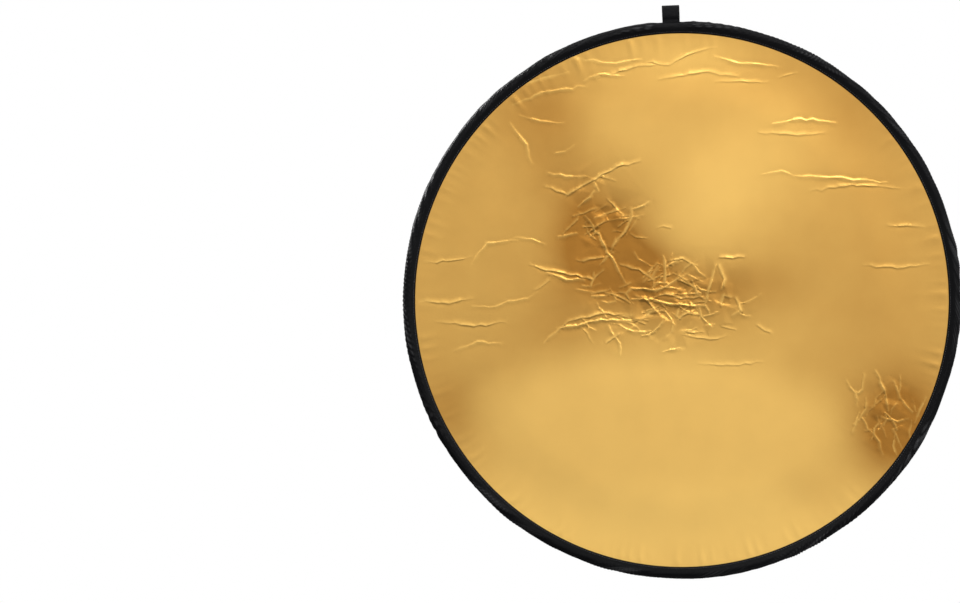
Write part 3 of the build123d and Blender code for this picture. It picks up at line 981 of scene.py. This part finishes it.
def rim_binding():
    """The black binding of the front, round the edge and down the side wall to the zip."""
    inner = RIM_INNER
    wall = RIM_R - BINDING / 2
    top = RIM_FRONT - RIM_BULGE + BINDING / 2
    path = smooth_path(
        [
            (inner, GOLD_Y - 0.75 * MM),
            (inner + 2.6 * MM, RIM_FRONT - 0.25 * RIM_BULGE),
            (inner + 6.0 * MM, top + 0.35 * MM),
            (inner + 9.2 * MM, top),
            (inner + 12.2 * MM, top + 0.7 * MM),
            (inner + 14.8 * MM, top + 2.9 * MM),
            (wall, top + 6.4 * MM),
            (wall, 0.0),
            (wall, WALL_BACK - BINDING / 2),
        ],
        30,
    )
    outline = strip_outline(path, BINDING)
    along = len(path)
    gathers = pucker_field(3, 1.7 * MM, 90, 180, 0.05)
    small = pucker_field(9, 0.3 * MM, 190, 320, 0.03)
    inward = directions(path)[1]

    def shape(angle, index, radius, y):
        station = np.clip(np.where(index < along, index, 2 * along - index), 0, along - 1)
        share = station / (along - 1)
        from_top = np.abs((np.degrees(angle) % 360) - 180)
        under_loop = smoothstep(2.2, 4.6, from_top)
        soft = smoothstep(0.16, 0.42, share) * (1 - 0.75 * smoothstep(0.6, 1.0, share))
        calm = 0.12 + 0.88 * under_loop
        across = share * 10
        rise = gathers(angle, across) * soft * calm + small(angle, across) * (0.15 + 0.5 * soft) * calm
        rise = rise - 0.35 * MM * soft
        return radius - inward[station, 0] * rise, y - inward[station, 1] * rise, rise

    obj = sweep("rim_binding", outline, 1600, BINDING_TAPE, shape=shape)
    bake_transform(obj)
    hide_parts("front_edge_binding", "rim_gusset", "rim_sewn_section", "hanging_loop_tail")


def stitch_shape():
    """One stitch lying along X: a plump thread that dips in at both ends."""
    half = ((-0.5, 0.35, -0.55), (-0.36, 0.8, 0.05), (-0.12, 1.0, 0.3))
    shares = [*half, *((-x, girth, lift) for x, girth, lift in half[::-1])]
    turn = np.linspace(0, TURN, SIDES, endpoint=False)
    verts = [
        (x * STITCH, girth * THREAD / 2 * math.cos(t), lift * THREAD + girth * THREAD / 2 * math.sin(t))
        for x, girth, lift in shares
        for t in turn
    ]
    return np.array(verts), ring_faces(len(shares), SIDES)


def stitch_ring(name, radius, y, outward, body, start=0.0, end=360.0):
    """A row of stitches round the disc, on a face that looks outward (-1 or 1 along y)."""
    verts, faces = stitch_shape()
    span = math.radians(end - start)
    count = round(span * radius / STITCH_PITCH)
    rng = np.random.default_rng(int(radius * 1e5))
    tilt = rng.normal(0, 0.05, count)[:, None]
    along = verts[:, 0] * np.cos(tilt) - verts[:, 1] * np.sin(tilt)
    across = verts[:, 0] * np.sin(tilt) + verts[:, 1] * np.cos(tilt)
    angle = math.radians(start) + span * (np.arange(count) + 0.5) / count
    points = round_disc(radius + across, angle[:, None] + along / radius, y + outward * verts[:, 2])
    obj = add_mesh(name, points, repeat_faces(faces, len(verts), count), BLACK_THREAD)
    assign(obj, body, "black_binding")
    return obj


def rim_stitches():
    """The seam that holds the front binding to the gold face."""
    obj = stitch_ring("rim_seam", RIM_INNER + 1.9 * MM, RIM_FRONT - 0.75 * MM, -1, None)
    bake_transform(obj)


def tape_ring(name, edge_r, coil_r, middle_r, node, body, seed):
    """A woven tape from its sewn edge to the zip, where it dips under the coil that is sewn on it."""
    start, end = SEWN_HALF_ARC + 0.1, 360 - SEWN_HALF_ARC - 0.1
    y = sum(TAPE_Y) / 2
    under = COIL_Y[0] + 0.1 * MM
    towards = 1 if coil_r > edge_r else -1
    flat = [(r, y) for r in np.linspace(edge_r, coil_r - towards * 0.8 * MM, 8)]
    path = np.array(flat + [(coil_r + towards * 0.1 * MM, under), (middle_r - towards * 0.15 * MM, under)])
    outline = strip_outline(path, 0.6 * (TAPE_Y[1] - TAPE_Y[0]))
    wave = periodic_noise(np.random.default_rng(seed), 60, 200, 10)

    def shape(angle, index, radius, height):
        return radius, height + 0.08 * MM * wave(angle), 0 * angle

    obj = sweep(name, outline, round((end - start) * 3), TAPE, start, end, shape)
    assign(obj, body, "black_tape", node)


def back_binding():
    """The tape folded round the edges of the white and black cloths."""
    inner = RIM_INNER
    y0, y1 = BACK_BINDING_Y
    outer = BACK_BINDING_R
    half = 0.3 * MM
    path = smooth_path(
        [
            (inner, y1 - half + 0.3 * MM),
            (inner + 3 * MM, y1 - half + 0.1 * MM),
            (outer - 1.2 * MM, y1 - half),
            (outer - half, (y0 + y1) / 2),
            (outer - 1.2 * MM, y0 + half),
            (inner + 3 * MM, y0 + half),
            (inner, y0 + half),
        ],
        26,
    )
    wave = pucker_field(15, 0.18 * MM, 120, 240, 0.02)

    def shape(angle, index, radius, y):
        near = np.clip(1 - (radius - inner) / (4 * MM), 0, 1)
        rise = np.where(y > (y0 + y1) / 2, 1, 0) * near * wave(angle, radius / inner)
        return radius, y + rise, rise

    obj = sweep("back_binding", strip_outline(path, 2 * half), 900, BINDING_TAPE, shape=shape)
    assign(obj, "back_cover", "black_binding", "back_edge_binding")


def sewn_back_strip():
    """The tape that closes the back of the rim where there is no zip."""
    y0, y1 = TAPE_Y
    path = np.stack([np.linspace(RIM_R - 12.8 * MM, RIM_R - 0.3 * MM, 12), np.full(12, (y0 + y1) / 2)], 1)
    outline = strip_outline(path, y1 - y0)
    puckers = pucker_field(21, 0.35 * MM, 160, 300, 0.02)

    def shape(angle, index, radius, y):
        rise = np.where(index < 12, 0, 1) * puckers(angle, radius / RIM_R)
        return radius, y + rise, rise

    obj = sweep("sewn_back_strip", outline, 180, BINDING_TAPE, -SEWN_HALF_ARC, SEWN_HALF_ARC, shape)
    assign(obj, "back_cover", "black_binding")


# The zip


def coil_turn(near, far):
    """One turn of the coil, along the radius, with a wider head at its near end."""
    mid = sum(COIL_Y) / 2
    tall = (COIL_Y[1] - COIL_Y[0]) / 2
    grow = math.copysign(MM, far - near)
    head = 0.62
    stations = [
        (far, 0.42, 0.7),
        (far - grow * 0.4, 0.5, 0.95),
        (near + grow * 0.9, 0.5, 0.95),
        (near + grow * 0.35, head, 0.9),
        (near, head * 0.6, 0.55),
    ]
    turn = np.linspace(0, TURN, SIDES, endpoint=False)
    verts = [
        (wide * MM * math.cos(t), mid + tall * high * math.sin(t), r)
        for r, wide, high in stations
        for t in turn
    ]
    return np.array(verts), ring_faces(len(stations), SIDES)


def coil_row(name, near, far, shift, body, node):
    """The turns of one half of the zip, round the disc."""
    verts, faces = coil_turn(near, far)
    start, end = math.radians(ZIP_START + 0.45), math.radians(360 - ZIP_START - 0.45)
    count = round((end - start) * (near + far) / 2 / COIL_PITCH)
    angle = start + (end - start) * (np.arange(count) + shift) / count
    points = round_disc(verts[:, 2], angle[:, None] + verts[:, 0] / verts[:, 2], verts[:, 1])
    obj = add_mesh(name, points, repeat_faces(faces, len(verts), count), COIL)
    assign(obj, body, "black_coil", node)


def zip_parts():
    overlap = 0.25 * MM
    middle = INNER_TAPE_R + (OUTER_COIL_R - INNER_TAPE_R) / 2
    coil_row("inner_coil", middle + overlap, INNER_TAPE_R, 0.25, "back_cover", "inner_zip_coil")
    coil_row("outer_coil", middle - overlap, OUTER_COIL_R, 0.75, "front_cover", "outer_zip_coil")
    tape_ring("inner_tape", RIM_INNER + 1 * MM, INNER_TAPE_R, middle, "inner_zip_tape", "back_cover", 51)
    tape_ring("outer_tape", RIM_R, OUTER_COIL_R, middle, "outer_zip_tape", "front_cover", 52)
    ends = (SEWN_HALF_ARC + 0.4, 360 - SEWN_HALF_ARC - 0.4)
    seam_y = sum(TAPE_Y) / 2 + 0.35 * (TAPE_Y[1] - TAPE_Y[0])
    stitch_ring("inner_tape_seam", RIM_R - 13.3 * MM, seam_y, 1, "back_cover", *ends)
    stitch_ring("outer_tape_seam", RIM_R - 1.3 * MM, seam_y, 1, "front_cover", *ends)
    stops = ("zip_bottom_stop", "inner_top_stop", "outer_top_stop")
    for node in (*stops, "slider_body", "slider_bridge", "zip_pull"):
        dress(node, GUNMETAL, 0.12 * MM)


def dress(node, material, bevel=0.0):
    """Gives a CAD node a better material, and softens its edges."""
    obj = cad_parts[node]
    obj.data.materials.clear()
    obj.data.materials.append(material)
    if bevel:
        soften = obj.modifiers.new("soft_edges", "BEVEL")
        soften.width = bevel
        soften.segments = 2
        soften.limit_method = "ANGLE"


# Webbing loops


def webbing(name, path, low_x, high_x, thick):
    """A strap whose middle line runs along a path of (y, z) points, with rounded selvedges."""
    selvedge = np.array([0.0, 0.25, 0.6, 1.2]) * MM
    lift = np.array([0.0, 0.7, 1.0, 1.05])
    middle = np.linspace(low_x + 2 * MM, high_x - 2 * MM, 16)
    across = np.concatenate([low_x + selvedge, middle, high_x - selvedge[::-1]])
    height = np.concatenate([lift, np.ones(len(middle)), lift[::-1]])
    ring_x = np.concatenate([across, across[-2:0:-1]])
    ring_h = np.concatenate([height, -height[-2:0:-1]]) * thick / 2
    travelled = along_path(path)
    ribs = 1 + 0.07 * np.sin(travelled * TURN / (1.5 * MM))
    around, x = np.meshgrid(travelled, ring_x, indexing="ij")
    offset = (ring_h[None, :] * ribs[:, None])[..., None] * directions(path)[1][:, None, :]
    verts = np.concatenate([x[..., None], path[:, None, :] + offset], -1).reshape(-1, 3)
    obj = add_mesh(name, verts, ring_faces(len(path), len(ring_x)), WEBBING_WEAVE)
    store(obj, "cloth", "FLOAT_VECTOR", "POINT", np.stack([around, x, 0 * x], -1))
    return obj


def hanging_loop():
    """The loop at the top: one strap that comes out of the rim, turns over and goes back in."""
    y = (LOOP_LOW.y + LOOP_HIGH.y) / 2
    out = (LOOP_HIGH.y - LOOP_LOW.y) / 2 - WEBBING / 2
    top = LOOP_HIGH.z - WEBBING / 2
    root = RIM_R - 2.2 * MM
    side = [
        (0.62 * MM, root),
        (0.64 * MM, LOOP_LOW.z + 0.8 * MM),
        (0.9 * MM, LOOP_LOW.z + 3.2 * MM),
        (0.82 * out, LOOP_LOW.z + 7.5 * MM),
        (out, LOOP_LOW.z + 12 * MM),
        (out, top - 5.5 * MM),
        (0.86 * out, top - 1.9 * MM),
        (0.45 * out, top - 0.35 * MM),
    ]
    points = [(y - a, z) for a, z in side] + [(y, top)] + [(y + a, z) for a, z in side[::-1]]
    obj = webbing("hanging_loop_strap", smooth_path(points, 150), LOOP_LOW.x, LOOP_HIGH.x, WEBBING)
    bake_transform(obj)
    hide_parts("hanging_loop")


def diffuser_loop():
    """The hoop's own loop, folded flat in front of its casing."""
    low, high = INNER_LOOP_LOW, INNER_LOOP_HIGH
    thick = 0.75 * MM
    front, back = low.y + thick / 2, high.y - thick / 2
    side = (high.z - 0.4 * MM, low.z + 6 * MM, low.z + 1.6 * MM)
    turn = ((front + back) / 2, low.z + thick / 2)
    points = [*((back, z) for z in side), turn, *((front, z) for z in side[::-1])]
    obj = webbing("diffuser_loop_strap", smooth_path(points, 120), low.x, high.x, thick)
    assign(obj, "diffuser_loop_body", "black_webbing", "diffuser_loop")


def diffuser_loop_patch():
    """The loop's sewn end over the casing."""
    low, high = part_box("diffuser_loop_patch")
    middle_y = (low.y + high.y) / 2
    points = [(low.y, high.z - 0.5 * MM), (middle_y, high.z - 0.3 * MM), (high.y, high.z - 0.45 * MM)]
    obj = webbing("diffuser_loop_root", smooth_path(points, 30), low.x, high.x, 0.5 * MM)
    assign(obj, "diffuser", "black_webbing", "diffuser_loop_patch")


# The diffuser's edge


def diffuser_casing():
    """The gathered black casing sewn round the steel hoop."""
    tube = CASING_R - 6.6 * MM
    half = 0.45 * MM
    flange = 1.1 * MM
    side = [
        (CASING_FLANGE_R, flange - half),
        (CASING_FLANGE_R + 5 * MM, flange - half),
        (tube - 2.6 * MM, flange - 0.1 * MM),
        (tube + 0.4 * MM, CASING_Y - 1.1 * MM),
        (tube + 3 * MM, CASING_Y - half - 0.1 * MM),
        (CASING_R - 1.4 * MM, CASING_Y - half - 0.7 * MM),
    ]
    points = [(r, -y) for r, y in side] + [(CASING_R - half - 0.1 * MM, 0.0)] + side[::-1]
    path = smooth_path(points, 44)
    gathers = pucker_field(27, 0.75 * MM, 100, 200, 0.04)

    def shape(angle, index, radius, y):
        wide = smoothstep(CASING_FLANGE_R + 8 * MM, tube + 2 * MM, radius)
        dip = gathers(angle, radius / CASING_R * 10) * (0.25 + 0.75 * wide)
        shrink = 1 - np.clip(dip, 0, 1.2 * MM) / np.maximum(np.abs(y), 2.4 * MM)
        return radius, y * shrink, 0.3 * (1 * MM - dip)

    obj = sweep("diffuser_casing", strip_outline(path, 2 * half * 0.8), 1080, BINDING_TAPE, shape=shape)
    assign(obj, "diffuser", "black_binding", "diffuser_binding")
    for name, way in (("casing_seam_front", -1), ("casing_seam_back", 1)):
        stitch_ring(name, CASING_FLANGE_R + 2.2 * MM, way * 1.05 * MM, way, "diffuser")
    dress("spring_steel_band", STEEL)
    dress("band_splice_sleeve", STEEL, 0.1 * MM)


# Studio


def studio_floor():
    """A pale floor that fades to the white of the backdrop well away from the object."""
    m = Material("studio_floor", (0.86, 0.86, 0.86), 0.85, Specular_IOR_Level=0.2)
    where = m.add("SeparateXYZ")
    m.link(m.place(cloth=False), where.inputs["Vector"])
    squares = [m.math("POWER", where.outputs[axis], 2.0) for axis in ("X", "Y")]
    away = m.math("SQRT", m.math("ADD", *squares), 0.0)
    glow = m.add("Emission").outputs["Emission"]
    fade = m.remap(away, *FLOOR_FADE, 0.0, 1.0)
    m.blend(fade, m.shader.outputs["BSDF"], glow, "Material Output")
    half = FLOOR_SIZE / 2
    corners = [(x * half, y * half, FLOOR_Z) for x, y in ((-1, -1), (1, -1), (1, 1), (-1, 1))]
    floor = add_mesh("studio_floor", corners, [(0, 1, 2, 3)], m.data, closed=False)
    floor.visible_glossy = False
    floor.visible_diffuse = False


def studio_world():
    """White to the camera. To the rest a room: bright overhead, dim low down, behind and to the left."""
    world = bpy.data.worlds.new("studio")
    bpy.context.scene.world = world
    world.use_nodes = True
    g = Graph(world)
    room = g.nodes["Background"]
    direction = g.add("SeparateXYZ")
    g.link(g.add("TexCoord").outputs["Generated"], direction.inputs["Vector"])
    ramp = g.add("ValToRGB")
    ramp.color_ramp.interpolation = "EASE"
    levels = ((0.0, 0.75), (0.1, 0.5), (0.22, 0.2), (0.3, 0.2), (0.41, 0.93), (0.52, 1.0), (1.0, 1.04))
    while len(ramp.color_ramp.elements) < len(levels):
        ramp.color_ramp.elements.new(0.5)
    for element, (place, level) in zip(ramp.color_ramp.elements, levels):
        element.position = place
        element.color = (0.97 * level, 0.98 * level, level, 1)
    g.link(g.remap(direction.outputs["Z"], -1.0, 1.0, 0.0, 1.0), ramp.inputs["Fac"])
    g.link(ramp.outputs["Color"], room.inputs["Color"])
    side = g.remap(direction.outputs["X"], -0.5, 0.5, 0.55, 1.38)
    behind = g.remap(direction.outputs["Y"], -0.1, 0.6, 1.0, 0.5)
    g.link(g.math("MULTIPLY", side, behind), room.inputs["Strength"])
    backdrop = g.add("Background", Color=(1, 1, 1, 1), Strength=1.0)
    to_camera = g.add("LightPath").outputs["Is Camera Ray"]
    g.blend(to_camera, room.outputs["Background"], backdrop.outputs["Background"], "World Output")


def soft_light(name, place, size, power):
    """A round soft light that points at the disc's centre."""
    data = bpy.data.lights.new(name, "AREA")
    data.shape = "DISK"
    data.size = size
    data.energy = power
    obj = bpy.data.objects.new(name, data)
    obj.location = place
    obj.rotation_euler = (-Vector(place)).to_track_quat("-Z", "Y").to_euler()
    bpy.context.scene.collection.objects.link(obj)


def studio_lights():
    soft_light("key", (1.6, -4.6, 3.4), 2.6, 130)
    soft_light("fill", (-3.6, -4.2, 1.0), 3.0, 60)
    soft_light("top", (0.0, -0.6, 3.6), 2.4, 60)
    soft_light("back_key", (-5.0, 2.6, 3.8), 1.6, 800)


def studio_camera():
    """Square on to the disc, which sits right of the middle with its loop turned slightly to the left."""
    data = bpy.data.cameras.new("camera")
    data.sensor_width = 36
    data.lens = data.sensor_width * CAMERA_DISTANCE / VIEW_WIDTH
    data.clip_end = 100
    obj = bpy.data.objects.new("camera", data)
    roll = math.radians(DISC_ROLL)
    right = Vector((math.cos(roll), 0, -math.sin(roll)))
    up = Vector((math.sin(roll), 0, math.cos(roll)))
    obj.location = Vector((0, -CAMERA_DISTANCE, 0)) - DISC_RIGHT * right - DISC_UP * up
    obj.rotation_euler = (math.radians(90), roll, 0)
    bpy.context.scene.collection.objects.link(obj)
    bpy.context.scene.camera = obj


for build in (
    gold_face,
    silver_face,
    white_face,
    black_face,
    rim_binding,
    rim_stitches,
    back_binding,
    sewn_back_strip,
    zip_parts,
    hanging_loop,
    diffuser_face,
    diffuser_casing,
    diffuser_loop,
    diffuser_loop_patch,
    studio_floor,
    studio_world,
    studio_lights,
    studio_camera,
):
    build()
bpy.context.scene.view_settings.view_transform = "Standard"
